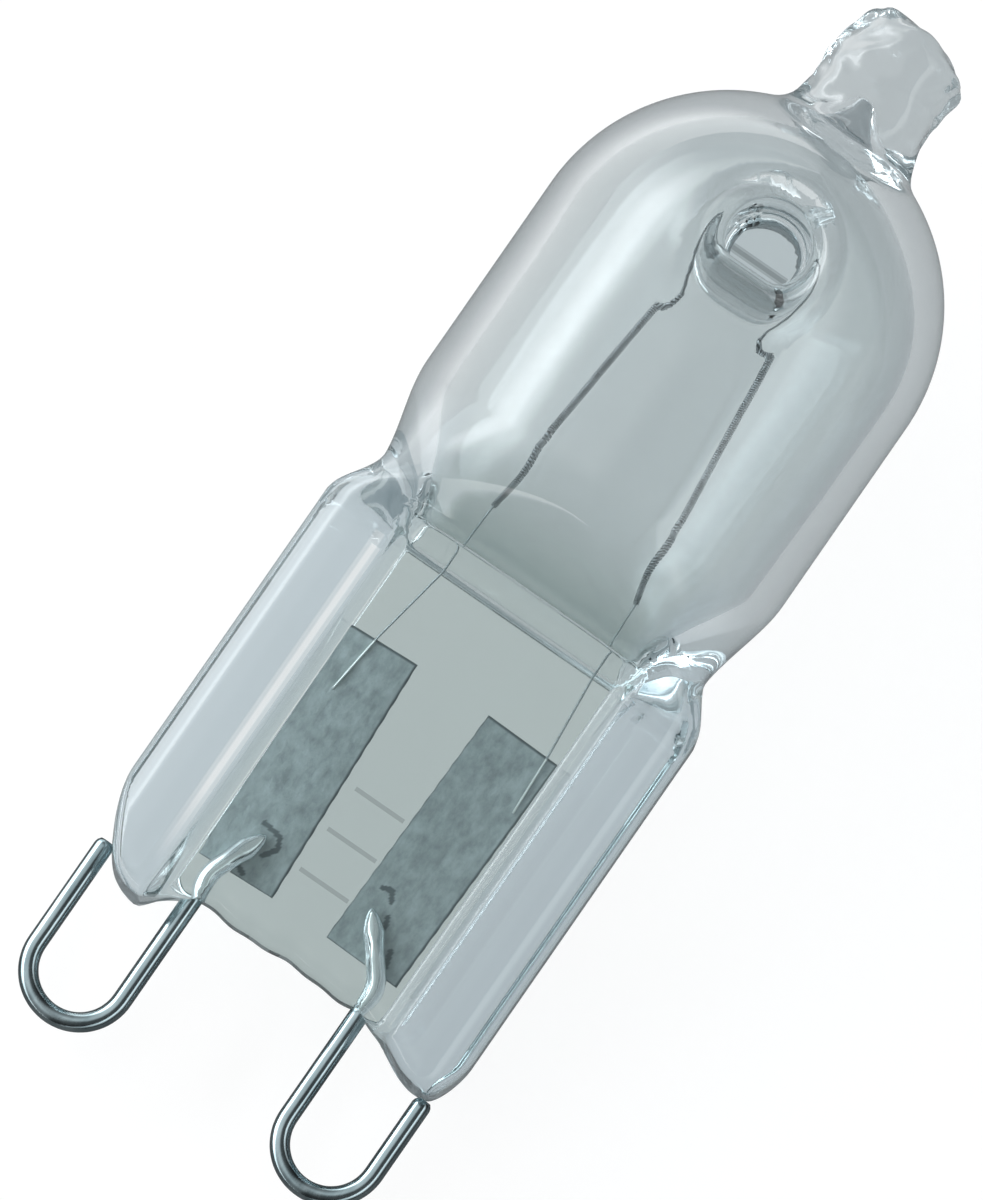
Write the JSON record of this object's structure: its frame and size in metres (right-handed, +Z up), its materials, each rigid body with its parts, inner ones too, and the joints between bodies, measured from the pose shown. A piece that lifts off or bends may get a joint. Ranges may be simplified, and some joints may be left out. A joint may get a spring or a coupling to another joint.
{
  "type": "halogen capsule bulb",
  "caption": "Clear quartz capsule lamp with a coiled filament held on a glass bridge, a flat pinched foot with sealing foils, and wire loop contacts.",
  "frame": {"origin": "on the table, at the middle of the box of the lamp as it lies on its back", "axes": "+X along the table towards the sealed tip, which is raised; -X towards the wire loops; +Z up out of the flat front face; +Y towards the left loop"},
  "size_m": [0.0392, 0.0136, 0.0139],
  "materials": {
    "clear_quartz": "clear, fire polished",
    "tungsten": "dull drawn wire",
    "sealing_foil": "thin crinkled foil seen through glass",
    "contact_wire": "bright plated wire"
  },
  "bodies": {
    "root": {"glass_envelope": "clear_quartz", "filament": "tungsten", "foil_left": "sealing_foil", "foil_right": "sealing_foil", "contact_pin_left": "contact_wire", "contact_pin_right": "contact_wire"}
  },
  "joints": []
}
